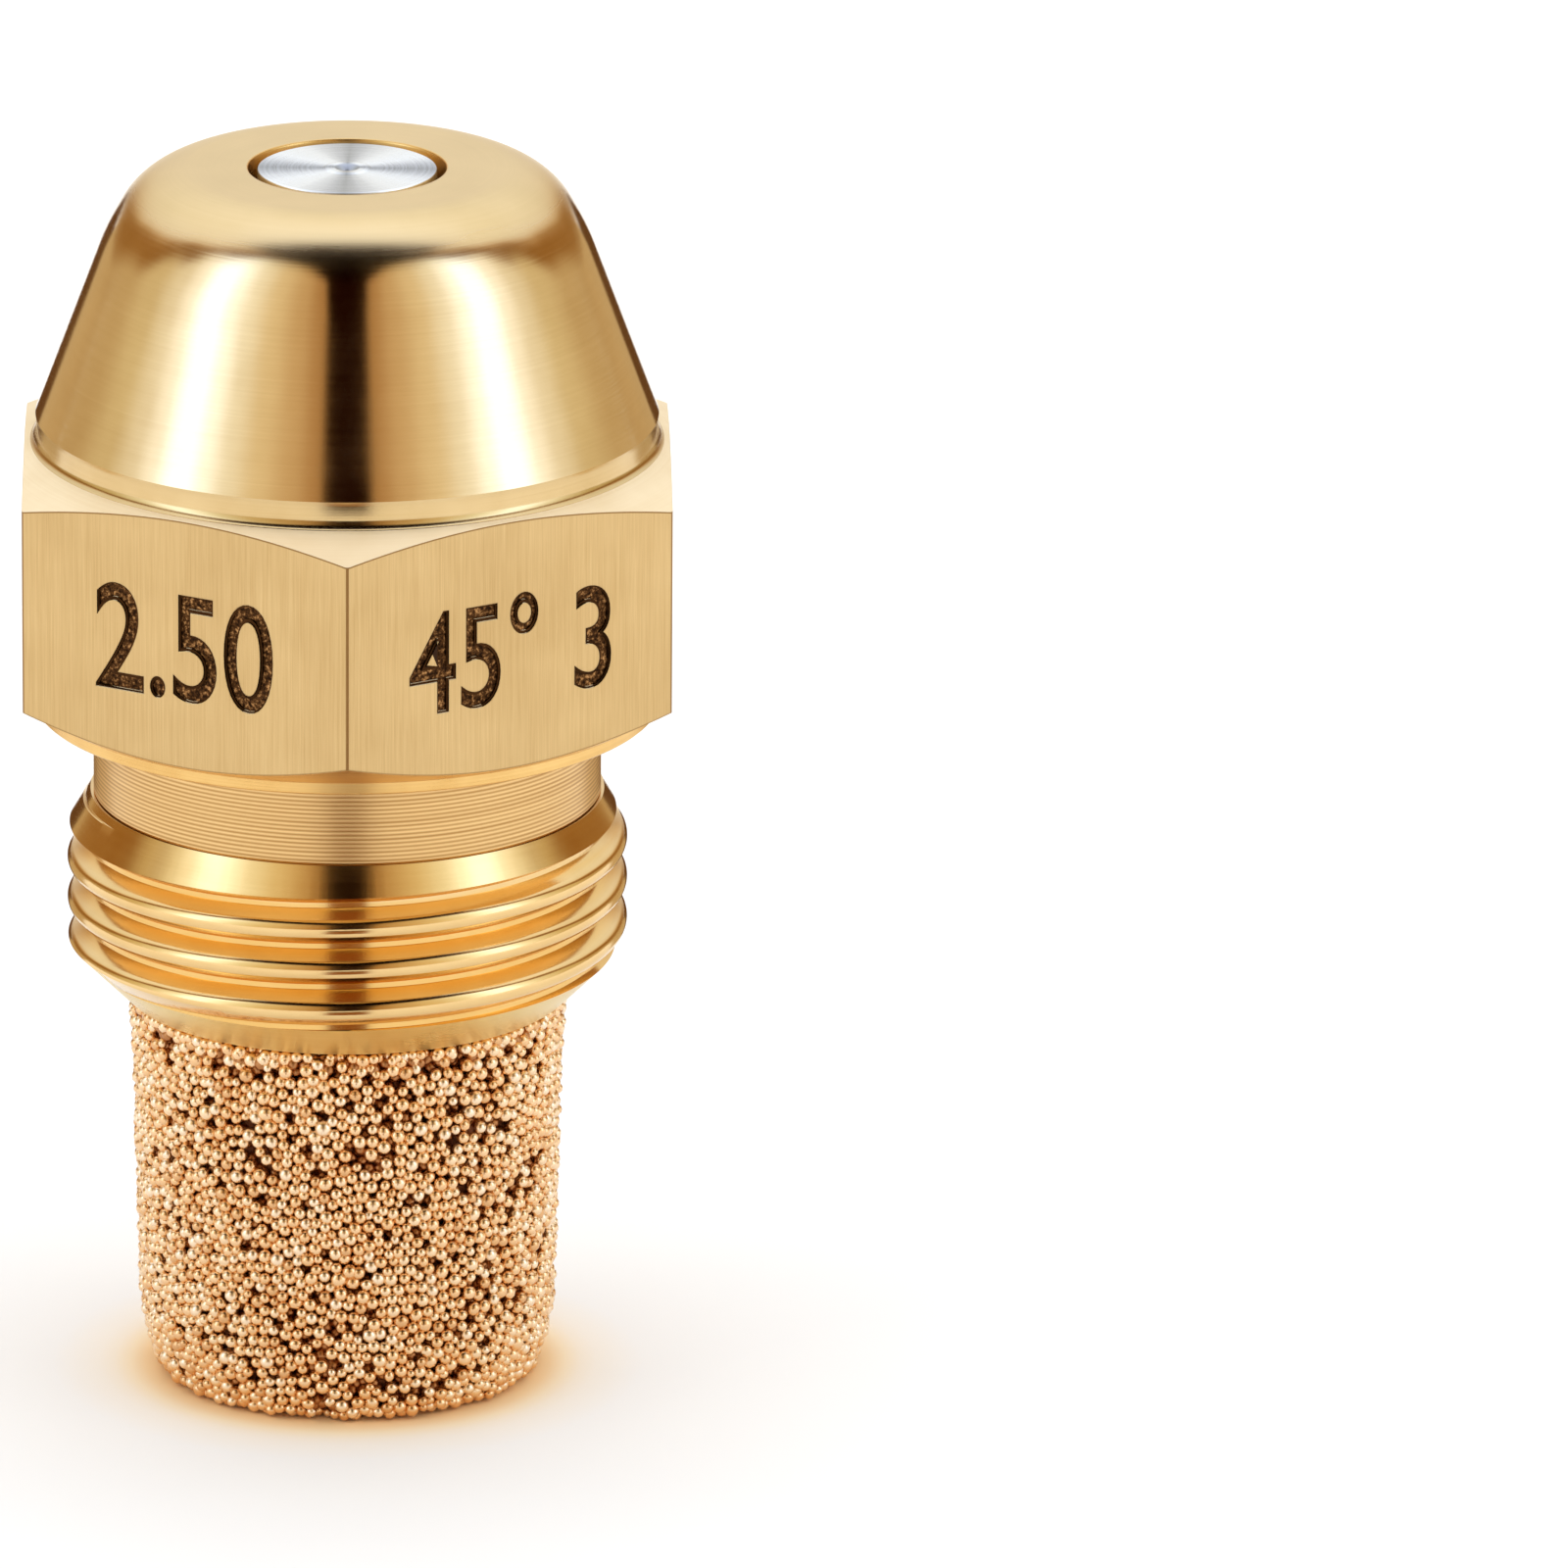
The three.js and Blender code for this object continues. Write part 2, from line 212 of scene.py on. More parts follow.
def set_slots(obj, materials, index):
    obj.data.materials.clear()
    for m in materials:
        obj.data.materials.append(m)
    obj.data.polygons.foreach_set("material_index", np.asarray(index, dtype=np.int32))
    obj.data.update()


def dress(obj, material):
    """One material all over. Booleans leave an empty slot behind, so the old slots go first."""
    set_slots(obj, [material], np.zeros(len(obj.data.polygons)))


# ---------------------------------------------------------------- materials
class Nodes:
    """A material under construction, with coordinates in millimetres."""

    def __init__(self, name, color, metallic, roughness):
        self.mat = bpy.data.materials.new(name)
        self.mat.use_nodes = True
        self.nt = self.mat.node_tree
        self.bsdf = self.nt.nodes["Principled BSDF"]
        self.bsdf.inputs["Base Color"].default_value = (*color, 1)
        self.bsdf.inputs["Metallic"].default_value = metallic
        self.bsdf.inputs["Roughness"].default_value = roughness
        coords = self.nt.nodes.new("ShaderNodeTexCoord")
        scale = self.nt.nodes.new("ShaderNodeVectorMath")
        scale.operation = "SCALE"
        scale.inputs["Scale"].default_value = 1 / MM
        self.nt.links.new(coords.outputs["Object"], scale.inputs[0])
        self.mm = scale.outputs[0]
        self.normal = None

    def link(self, a, b):
        self.nt.links.new(a, b)

    def math(self, operation, a, b=None):
        node = self.nt.nodes.new("ShaderNodeMath")
        node.operation = operation
        for socket, value in zip(node.inputs, (a, b)):
            if value is None:
                continue
            if isinstance(value, (int, float)):
                socket.default_value = value
            else:
                self.link(value, socket)
        return node.outputs[0]

    def polar(self):
        """Radius, angle and height in mm, for patterns that run round the axis."""
        sep = self.nt.nodes.new("ShaderNodeSeparateXYZ")
        self.link(self.mm, sep.inputs[0])
        x, y, z = sep.outputs
        radius = self.math("SQRT", self.math("ADD", self.math("MULTIPLY", x, x), self.math("MULTIPLY", y, y)))
        return radius, self.math("ARCTAN2", y, x), z

    def vector(self, x, y, z):
        node = self.nt.nodes.new("ShaderNodeCombineXYZ")
        for socket, value in zip(node.inputs, (x, y, z)):
            if isinstance(value, (int, float)):
                socket.default_value = value
            else:
                self.link(value, socket)
        return node.outputs[0]

    def stretch(self, x, y, z):
        node = self.nt.nodes.new("ShaderNodeVectorMath")
        node.operation = "MULTIPLY"
        self.link(self.mm, node.inputs[0])
        node.inputs[1].default_value = (x, y, z)
        return node.outputs[0]

    def noise(self, vector, scale=1.0, detail=3.0, rough=0.55):
        node = self.nt.nodes.new("ShaderNodeTexNoise")
        node.inputs["Scale"].default_value = scale
        node.inputs["Detail"].default_value = detail
        node.inputs["Roughness"].default_value = rough
        self.link(vector, node.inputs["Vector"])
        return node.outputs["Fac"]

    def ramp(self, fac, stops):
        node = self.nt.nodes.new("ShaderNodeValToRGB")
        el = node.color_ramp.elements
        while len(el) < len(stops):
            el.new(0.5)
        for e, (at, value) in zip(el, stops):
            e.position = at
            e.color = (*value, 1) if isinstance(value, tuple) else (value, value, value, 1)
        self.link(fac, node.inputs["Fac"])
        return node.outputs["Color"]

    def color(self, socket):
        self.link(socket, self.bsdf.inputs["Base Color"])

    def span(self, value, low, high):
        """0 below low and 1 above high, smooth between."""
        node = self.nt.nodes.new("ShaderNodeMapRange")
        node.interpolation_type = "SMOOTHSTEP"
        node.inputs["From Min"].default_value = low
        node.inputs["From Max"].default_value = high
        self.link(value, node.inputs["Value"])
        return node.outputs["Result"]

    def mix(self, fac, a, b):
        node = self.nt.nodes.new("ShaderNodeMix")
        node.data_type = "RGBA"
        self.link(fac, node.inputs["Factor"])
        self.link(a, node.inputs[6])
        self.link(b, node.inputs[7])
        return node.outputs[2]

    def roughness(self, fac, low, high):
        node = self.nt.nodes.new("ShaderNodeMapRange")
        node.inputs["To Min"].default_value = low
        node.inputs["To Max"].default_value = high
        node.inputs["From Min"].default_value = 0.3
        node.inputs["From Max"].default_value = 0.7
        self.link(fac, node.inputs["Value"])
        self.link(node.outputs["Result"], self.bsdf.inputs["Roughness"])

    def bump(self, height, distance_mm, strength=1.0):
        node = self.nt.nodes.new("ShaderNodeBump")
        node.inputs["Distance"].default_value = distance_mm * MM
        node.inputs["Strength"].default_value = strength
        self.link(height, node.inputs["Height"])
        if self.normal is not None:
            self.link(self.normal, node.inputs["Normal"])
        self.normal = node.outputs["Normal"]
        self.link(self.normal, self.bsdf.inputs["Normal"])

    def round_edges(self, radius_mm):
        node = self.nt.nodes.new("ShaderNodeBevel")
        node.samples = 6
        node.inputs["Radius"].default_value = radius_mm * MM
        self.normal = node.outputs["Normal"]
        self.link(self.normal, self.bsdf.inputs["Normal"])


def turned_metal(name, dark, light, rough, line_depth, lines=9.0, edge=0.0, metallic=1.0):
    """Metal from a lathe: fine rings round the axis, and a tone that drifts slowly."""
    n = Nodes(name, light, metallic, rough[0])
    if edge:
        n.round_edges(edge)
    radius, angle, z = n.polar()
    run = n.math("ADD", radius, z)
    rings = n.noise(n.vector(run, n.math("MULTIPLY", angle, 0.06), n.math("SUBTRACT", radius, z)), lines, 4.0, 0.7)
    drift = n.noise(n.mm, 0.45, 3.0)
    tone = n.math("ADD", n.math("MULTIPLY", rings, 0.35), n.math("MULTIPLY", drift, 0.65))
    n.color(n.ramp(tone, [(0.3, dark), (0.68, light)]))
    n.roughness(tone, *rough)
    if line_depth:
        n.bump(rings, line_depth)
    return n.mat


def nose_metal():
    """Brass polished on the cone and satin on the flat nose, with the change on the shoulder."""
    n = Nodes("brass_nose", (0.8, 0.53, 0.22), 1.0, 0.2)
    radius, angle, z = n.polar()
    top = n.span(z, 29.95, 30.95)
    run = n.math("ADD", radius, z)
    rings = n.noise(n.vector(run, n.math("MULTIPLY", angle, 0.06), n.math("SUBTRACT", radius, z)), 11.0, 4.0, 0.7)
    drift = n.noise(n.mm, 0.45, 3.0)
    tone = n.math("ADD", n.math("MULTIPLY", rings, 0.35), n.math("MULTIPLY", drift, 0.65))
    cone = n.ramp(tone, [(0.3, (0.74, 0.54, 0.315)), (0.68, (0.84, 0.64, 0.395))])
    face = n.ramp(tone, [(0.3, (0.75, 0.55, 0.27)), (0.68, (0.83, 0.625, 0.335))])
    n.color(n.mix(top, cone, face))
    shift = n.math("MULTIPLY", n.math("SUBTRACT", tone, 0.5), 0.22)
    n.link(n.math("ADD", n.math("ADD", n.math("MULTIPLY", top, 0.21), 0.12), shift), n.bsdf.inputs["Roughness"])
    n.bump(rings, 0.0012)
    return n.mat


def grooved_metal(name, groove, crest, rough):
    """The grooved neck: darker in the bottom of each groove, as painted shade."""
    n = Nodes(name, crest, 1.0, rough[0])
    _radius, angle, z = n.polar()
    wave = n.math("SINE", n.math("MULTIPLY", n.math("SUBTRACT", z, NECK_LOW_Z), math.pi / NECK_STEP))
    wear = n.noise(n.vector(n.math("MULTIPLY", z, 9.0), n.math("MULTIPLY", angle, 0.5), 0.0), 1.0, 3.0, 0.6)
    tone = n.math("ADD", n.math("MULTIPLY", n.math("MULTIPLY", wave, wave), 0.6), n.math("MULTIPLY", wear, 0.5))
    n.color(n.ramp(tone, [(0.22, crest), (0.95, groove)]))
    n.roughness(wear, *rough)
    return n.mat


def thread_metal(name, root, crest):
    """Cut thread: polished, and deeper in colour down in its roots, as a painted warm bounce of light there."""
    n = Nodes(name, crest[1], 1.0, 0.14)
    radius, angle, z = n.polar()
    lines = n.noise(n.vector(n.math("ADD", radius, z), n.math("MULTIPLY", angle, 0.06), 0.0), 14.0, 4.0, 0.7)
    drift = n.noise(n.mm, 0.45, 3.0)
    tone = n.math("ADD", n.math("MULTIPLY", lines, 0.35), n.math("MULTIPLY", drift, 0.65))
    deep = n.ramp(tone, [(0.3, root[0]), (0.68, root[1])])
    high = n.ramp(tone, [(0.3, crest[0]), (0.68, crest[1])])
    up = n.math("MAXIMUM", n.span(radius, 6.56, 6.86), n.span(z, 14.1, 14.3))
    n.color(n.mix(up, deep, high))
    n.roughness(tone, 0.12, 0.18)
    n.bump(lines, 0.0008)
    return n.mat


def brushed_flat(name, dark, light, edge_shade_colour, rough, depth, edge):
    """A milled wrench flat: fine strokes that run up and down, and a dark line of painted shade where the flat ends."""
    n = Nodes(name, light, 1.0, rough[0])
    n.round_edges(edge)
    strokes = n.noise(n.stretch(20.0, 20.0, 0.25), 1.0, 4.0, 0.65)
    fine = n.noise(n.stretch(52.0, 52.0, 0.6), 1.0, 3.0, 0.6)
    drift = n.noise(n.mm, 0.35, 2.0)
    both = n.math("ADD", n.math("MULTIPLY", strokes, 0.45), n.math("MULTIPLY", fine, 0.55))
    tone = n.math("ADD", n.math("MULTIPLY", both, 0.72), n.math("MULTIPLY", drift, 0.28))
    metal = n.ramp(tone, [(0.36, dark), (0.64, light)])
    radius, _angle, z = n.polar()
    out = n.math("SUBTRACT", radius, WASHER_R)
    below_top = n.math("SUBTRACT", HEX_HIGH_Z, n.math("ADD", z, n.math("MULTIPLY", out, HEX_HIGH_SLOPE)))
    over_foot = n.math("SUBTRACT", z, n.math("ADD", n.math("MULTIPLY", out, HEX_LOW_SLOPE), HEX_LOW_Z))
    # Painted shade: a dark line along the flat's top edge and its corners, and a fainter one along its foot.
    line = n.math("MAXIMUM", n.span(below_top, 0.05, 0.025), n.span(radius, CORNER_LINE_R - 0.003, CORNER_LINE_R + 0.002))
    line = n.math("MAXIMUM", line, n.math("MULTIPLY", n.span(over_foot, 0.04, 0.02), 0.6))
    edge_shade_mask = n.ramp(line, [(0.0, (0.0, 0.0, 0.0)), (1.0, (1.0, 1.0, 1.0))])
    painted_edge_shade = n.ramp(tone, [(0.36, edge_shade_colour), (0.64, edge_shade_colour)])
    n.color(n.mix(edge_shade_mask, metal, painted_edge_shade))
    n.roughness(both, *rough)
    n.bump(both, depth)
    return n.mat


def mark_metal():
    """The rough floor of an engraved digit: near black, with a few lighter brown specks."""
    n = Nodes("mark_floor", (0.06, 0.025, 0.01), 1.0, 0.4)
    grit = n.noise(n.mm, 9.0, 4.0, 0.7)
    n.color(n.ramp(grit, [(0.40, (0.02, 0.008, 0.003)), (0.54, (0.10, 0.040, 0.012)), (0.66, (0.50, 0.25, 0.09))]))
    n.roughness(grit, 0.5, 0.3)
    n.bump(grit, 0.03)
    return n.mat


def fan_steel():
    """Stainless steel faced in a lathe: rings, and a soft fan of four light and four dark sectors that is a painted
    reflection; the centre round the hole is darkened as painted shade.
    """
    n = Nodes("steel_turned", (0.6, 0.6, 0.6), 1.0, 0.3)
    radius, angle, z = n.polar()
    rings = n.noise(n.vector(n.math("ADD", radius, z), 0.0, 0.0), 15.0, 3.0, 0.7)
    rays = n.noise(n.vector(n.math("SINE", angle), n.math("COSINE", angle), 0.0), 3.5, 3.0, 0.6)
    fan = n.math("ABSOLUTE", n.math("SINE", n.math("MULTIPLY", n.math("ADD", angle, 0.04), 2.0)))
    ringing = n.math("MULTIPLY", n.math("SUBTRACT", rings, 0.5), n.math("SUBTRACT", 1.15, fan))
    tone = n.math("ADD", n.math("ADD", fan, n.math("MULTIPLY", ringing, 1.5)), n.math("MULTIPLY", rays, 0.3))
    # The centre round the orifice is darkened as painted shade.
    dimple = n.span(radius, 0.27, 0.36)
    tone = n.math("MULTIPLY", n.math("SUBTRACT", tone, 0.10), n.math("ADD", n.math("MULTIPLY", dimple, 0.85), 0.15))
    n.color(n.ramp(tone, [(0.0, (0.36, 0.37, 0.39)), (0.45, (0.58, 0.59, 0.63)), (1.02, (0.95, 0.96, 0.985))]))
    n.roughness(rings, 0.24, 0.34)
    n.bump(rings, 0.0008)
    return n.mat


def bead_metal(name, color, rough):
    n = Nodes(name, color, 1.0, rough)
    return n.mat


polished = nose_metal()
# The collar brass is darkened as painted shade for the fillet above the hexagon; the screw and the ferrule use the same
# material.
collar = turned_metal("brass_collar", (0.60, 0.41, 0.18), (0.74, 0.545, 0.28), (0.16, 0.22), 0.001, 14.0)
flats = brushed_flat("brass_flats", (0.525, 0.335, 0.135), (0.70, 0.485, 0.225), (0.30, 0.16, 0.055), (0.28, 0.40), 0.006, 0.05)
# The top chamfer's pale cream, part-diffuse brass is a painted highlight: it makes the chamfer read bright under the
# even fill.
chamfer = turned_metal("brass_chamfer", (0.80, 0.62, 0.365), (0.90, 0.75, 0.51), (0.42, 0.50), 0.004, 12.0, 0.05, metallic=0.4)
seating = turned_metal("brass_seating", (0.66, 0.37, 0.11), (0.88, 0.58, 0.22), (0.24, 0.32), 0.002, 12.0, 0.03)
rear = turned_metal("brass_rear", (0.72, 0.51, 0.17), (0.84, 0.64, 0.26), (0.26, 0.34), 0.002, 12.0)
ringed = grooved_metal("brass_rings", (0.42, 0.22, 0.07), (0.82, 0.54, 0.235), (0.27, 0.34))
threads = thread_metal("brass_thread", ((0.76, 0.45, 0.13), (0.86, 0.55, 0.20)), ((0.75, 0.49, 0.20), (0.85, 0.60, 0.28)))
mark_edge = turned_metal("mark_edge", (0.012, 0.005, 0.002), (0.09, 0.035, 0.01), (0.4, 0.55), 0.004, 10.0)
mark_floor = mark_metal()
steel = fan_steel()


def spun(mat, amount):
    """Stretches the highlights across the turning rings, as on a face finished in a lathe."""
    nt = mat.node_tree
    tangent = nt.nodes.new("ShaderNodeTangent")
    tangent.direction_type = "RADIAL"
    tangent.axis = "Z"
    shader = nt.nodes["Principled BSDF"]
    shader.inputs["Anisotropic"].default_value = amount
    nt.links.new(tangent.outputs[0], shader.inputs["Tangent"])


spun(steel, 0.9)


# ---------------------------------------------------------------- nozzle body

def rating_cutter(text, azimuth_deg, height_mm, centre_z, across_mm, depth_mm, spread):
    """Generic rating digits, as closed shapes sunk into a wrench flat."""
    curve = bpy.data.curves.new("rating", "FONT")
    curve.body = text
    curve.align_x, curve.align_y = "CENTER", "CENTER"
    curve.extrude = 0.5
    curve.resolution_u = 8
    curve.offset = spread
    source = bpy.data.objects.new("rating", curve)
    bpy.context.collection.objects.link(source)
    bpy.context.view_layer.update()
    mesh = bpy.data.meshes.new_from_object(source.evaluated_get(bpy.context.evaluated_depsgraph_get()))
    bpy.data.objects.remove(source)
    xs = [v.co.x for v in mesh.vertices]
    ys = [v.co.y for v in mesh.vertices]
    a = math.radians(azimuth_deg)
    out = Vector((math.sin(a), -math.cos(a), 0))
    right = Vector((math.cos(a), math.sin(a), 0))
    mid_x, mid_y = (max(xs) + min(xs)) / 2, (max(ys) + min(ys)) / 2
    for v in mesh.vertices:
        x = (v.co.x - mid_x) / (max(xs) - min(xs)) * across_mm
        y = (v.co.y - mid_y) / (max(ys) - min(ys)) * height_mm
        d = 8 + (0.3 if v.co.z > 0 else -depth_mm)
        v.co = (right * x + out * d + Vector((0, 0, centre_z + y))) * MM
    bm = bmesh.new()
    bm.from_mesh(mesh)
    bmesh.ops.remove_doubles(bm, verts=bm.verts, dist=1e-8)
    bmesh.ops.recalc_face_normals(bm, faces=bm.faces)
    bm.to_mesh(mesh)
    bm.free()
    obj = bpy.data.objects.new("rating_cut", mesh)
    bpy.context.collection.objects.link(obj)
    return obj


def shoulder():
    """The round between the cone and the flat nose, which runs out into the cone on a larger radius."""
    cx, cz = 3.95 - RUN_OUT_IN, NOSE_Z - SHOULDER_R
    turn = math.radians(RUN_OUT_DEG)
    away = RUN_OUT_R - SHOULDER_R
    low = arc(cx - away * math.cos(turn), cz - away * math.sin(turn), RUN_OUT_R, 20.2, RUN_OUT_DEG, 7)
    return low[:-1] + arc(cx, cz, SHOULDER_R, RUN_OUT_DEG, 90, 20)


def build_body():
    neck = grooves(6.32, NECK_LOW_Z, NECK_HIGH_Z, NECK_STEP, 0.006)
    body = lathe("nozzle_body_fine", [
        (0, 14.2), (6.25, 14.2), (6.25, 15.19), *neck, (6.32, NECK_HIGH_Z), (6.38, WASHER_Z),
        *[(r, z) for r, z in face_rings(WASHER_Z, 6.5, 7.7)],
        (7.74, WASHER_Z + 0.005), (WASHER_R, WASHER_Z + 0.04), (WASHER_R, HEX_LOW_Z + 0.02), (WASHER_R, HEX_HIGH_Z - 0.15),
        (7.9, HEX_HIGH_Z - 0.07), *arc(7.98, HEX_HIGH_Z + 0.224, 0.28, 249.5, 180, 12),
        (7.70, 24.80), (7.705, 24.86), (7.72, 24.93),
        *shoulder(),
        (2.6, NOSE_Z), (0, NOSE_Z),
    ])
    far = CORNER_R + 1
    envelope = lathe("hex_envelope", [
        (0, HEX_LOW_Z), (WASHER_R, HEX_LOW_Z),
        (far, HEX_LOW_Z + (far - WASHER_R) * HEX_LOW_SLOPE), (far, HEX_HIGH_Z - (far - WASHER_R) * HEX_HIGH_SLOPE),
        (WASHER_R, HEX_HIGH_Z), (0, HEX_HIGH_Z),
    ])
    # The prism's corners are slightly rounded, as on drawn bar.
    ring = []
    for k in range(6):
        mid = math.radians(60 * k + 30)
        for step in range(-3, 4):
            a = mid + math.radians(10 * step)
            c = CORNER_R - EDGE_R / math.cos(math.radians(30))
            ring.append((c * math.cos(mid) + EDGE_R * math.cos(a), c * math.sin(mid) + EDGE_R * math.sin(a)))
    n = len(ring)
    verts = [(x * MM, y * MM, 17 * MM) for x, y in ring] + [(x * MM, y * MM, 25 * MM) for x, y in ring]
    faces = [tuple(reversed(range(n))), tuple(range(n, 2 * n))]
    faces += [(i, (i + 1) % n, n + (i + 1) % n, n + i) for i in range(n)]
    prism = add_object("hex_prism", verts, faces)
    combine(prism, envelope, "INTERSECT")
    combine(body, prism, "UNION")

    crest = [(6.68 + 0.30 * math.cos(t), 0.5 + 0.30 * math.sin(t) / PITCH) for t in np.radians(np.linspace(-60, 60, 13))]
    thread = threaded_rod("outer_thread", [(6.5, 0.0), (6.5, 0.06), (6.525, 0.085), *crest, (6.525, 0.915), (6.5, 0.94)],
                          PITCH, REAR_Z, THREAD_TOP_Z, FINE, 0.76)
    ends = lathe("thread_envelope", [
        (0, REAR_Z), (5.58, REAR_Z), (5.62, REAR_Z + 0.03), (7.22, REAR_Z + 1.63),
        (7.22, THREAD_TOP_Z - 0.82 / math.tan(math.radians(30.5))), (6.4, THREAD_TOP_Z), (0, THREAD_TOP_Z),
    ])
    combine(thread, ends, "INTERSECT")
    combine(body, thread, "UNION")

    inner = threaded_rod("inner_thread", [
        (3.16, 0.0), (3.16, 0.22), (3.56, 0.46), (3.58, 0.48), (3.58, 0.68), (3.56, 0.70),
    ], 1.0, 14.3, 26.3, 128)
    combine(inner, lathe("inner_span", [(0, 14.4), (4.6, 14.4), (4.6, 26.3), (0, 26.3)], 128), "INTERSECT")
    combine(body, inner, "DIFFERENCE")
    bores = lathe("bores", [
        (0, 8.98), (5.15, 8.98), (5.15, 9.98), (4.9, 10.23), (4.9, 14.6), (3.7, 14.6), (3.05, 15.25), (3.05, 26.2),
        (3.15, 26.2), (3.15, 29.4), (2.45, 29.4), (2.45, NOSE_Z - 0.04), (2.457, NOSE_Z - 0.02),
        (2.47, NOSE_Z - 0.006), (2.49, NOSE_Z + 0.002), (2.6, NOSE_Z + 0.5), (0, NOSE_Z + 0.5),
    ])
    combine(body, bores, "DIFFERENCE")
    for text, azimuth, across in (("2.50", -30, 5.0), ("45° 3", 30, 5.7)):
        combine(body, rating_cutter(text, azimuth, 2.78, 20.95, across + 0.03, 0.035, 0.012), "DIFFERENCE")
        combine(body, rating_cutter(text, azimuth, 2.69, 20.95, across - 0.06, 0.08, -0.006), "DIFFERENCE")
    shade(body)

    centre, normal = face_arrays(body)
    radius = np.hypot(centre[:, 0], centre[:, 1])
    z = centre[:, 2]
    side = np.abs(normal[:, 2]) < 0.02
    # How far a point lies out along the nearest wrench flat's normal.
    a = np.arctan2(centre[:, 1], centre[:, 0])
    k = np.round(a / (math.pi / 3)) * (math.pi / 3)
    out = centre[:, 0] * np.cos(k) + centre[:, 1] * np.sin(k)
    index = np.full(len(z), 0)
    index[(z > HEX_HIGH_Z - 0.04) & (z < 24.95)] = 2
    hexed = (z > HEX_LOW_Z - 0.01) & (z < HEX_HIGH_Z - 0.03) & (radius > 7.5)
    index[hexed] = 4
    index[hexed & (normal[:, 2] < -0.3)] = 8
    index[hexed & side & ((out > 7.98) | (radius > 9.15))] = 3
    sunk = hexed & (out < 7.995) & (radius < 9.05) & (normal[:, 2] < 0.98) & (z > 19.3) & (z < 22.6)
    index[sunk] = 6
    index[sunk & side & (out < 7.93)] = 7
    index[(z <= HEX_LOW_Z - 0.01) & (z > WASHER_Z - 0.02)] = 8
    index[(z <= WASHER_Z - 0.02) & (z > 15.17)] = 5
    index[z <= 15.17] = 1
    index[(z < 11.0) & (normal[:, 2] < -0.6) & (normal[:, 2] > -0.8)] = 9
    index[(radius < 5.2) & (z < 29.6)] = 5
    index[(radius < 2.48) & (z > 29.5)] = 8
    set_slots(body, [polished, threads, collar, flats, chamfer, ringed, mark_edge, mark_floor, seating, rear], index)
    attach(body, "nozzle")
    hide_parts("nozzle_body")
    return body


def face_rings(z, r0, r1):
    """Rings on a face that looks down."""
    return [(r, z if i % 3 else z + 0.008) for i, r in enumerate(np.linspace(r0, r1, 31))]


build_body()


# ---------------------------------------------------------------- spray parts
def build_disc():
    top = 31.19
    rings = face_grooves(top, 2.14, 0.62, 0.09, 0.004)
    disc = lathe("orifice_disc_fine", [
        (2.3, 26.95), (3.0, 26.95), (3.08, 27.03), (3.08, 29.22), (2.93, 29.37), (2.28, 29.37), (2.22, 29.45),
        (2.22, top - 0.05), (2.205, top - 0.015), (2.17, top), *rings, (0.58, top), (0.545, top + 0.018),
        (0.50, top + 0.024), (0.33, top + 0.024), (0.29, top + 0.01), (0.24, top - 0.03), (0.14, top - 0.10),
        (0.12, top - 0.12), (0.12, top - 0.35), (0.5, top - 0.73), (0.5, 30.15), (2.3, 28.35),
    ])
    shade(disc, 35)
    dress(disc, steel)
    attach(disc, "swirl_set")
    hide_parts("orifice_disc")


def build_distributor():
    seat_r = 2.3 - 0.03 * math.sqrt(2)
    tip_z = 28.3 + 2.2 - 0.62
    body = lathe("swirl_distributor_fine", [
        (0, 24.3), (1.05, 24.3), (1.2, 24.45), (1.2, 25.93), (2.95, 25.93), (3.0, 25.98), (3.0, 26.87), (2.95, 26.92),
        (2.25, 26.92), (2.2, 26.97), *grooves(2.2, 27.0, 28.26, 0.09, 0.008), (2.2, 28.3), (0.66, tip_z - 0.04),
        (0.62, tip_z), (0, tip_z),
    ], 180)
    for i in range(3):
        slot = box("slot", (3.2, 0.36, 0.82), (0, 0, 0.09))
        turn = Matrix.Rotation(math.radians(120 * i), 4, "Z")
        place = Matrix.Translation(Vector((1.45, 0.45, 29.0)) * MM)
        slot.data.transform(turn @ place @ Matrix.Rotation(math.radians(45), 4, "Y"))
        combine(body, slot, "DIFFERENCE")
        feed = box("feed", (2.4, 0.7, 2.97), (3.2, 0, 26.915))
        feed.data.transform(Matrix.Rotation(math.radians(120 * i + 40), 4, "Z"))
        combine(body, feed, "DIFFERENCE")
    shade(body, 30)
    dress(body, steel)
    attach(body, "swirl_set")
    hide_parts("swirl_distributor")


def build_screw():
    low, high, crest, root = 20.0, 25.9, 3.5, 3.07
    cut = crest - root
    screw = threaded_rod("retaining_screw_fine", [
        (root, 0.0), (root, 0.34), (root + 0.02, 0.37), (crest - 0.03, 0.59), (crest, 0.62), (crest, 0.70), (crest - 0.03, 0.73),
    ], 1.0, 14.3, 26.3, 180, -0.05)
    ends = lathe("screw_envelope", [
        (0, low), (root, low), (crest + 0.05, low + cut), (crest + 0.05, high - cut), (root, high), (0, high),
    ], 180)
    combine(screw, ends, "INTERSECT")
    combine(screw, lathe("screw_bore", [(0, low - 1), (1.35, low - 1), (1.35, high + 1), (0, high + 1)], 96), "DIFFERENCE")
    combine(screw, box("driver_slot", (9, 1.1, 2.5), (0, 0, low + 0.25)), "DIFFERENCE")
    for turn in (0, 60, 120):
        groove = box("oil_groove", (9, 0.8, 1.6), (0, 0, high + 0.2))
        groove.data.transform(Matrix.Rotation(math.radians(turn), 4, "Z"))
        combine(screw, groove, "DIFFERENCE")
    shade(screw, 30)
    dress(screw, collar)
    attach(screw, "screw")
    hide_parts("retaining_screw")


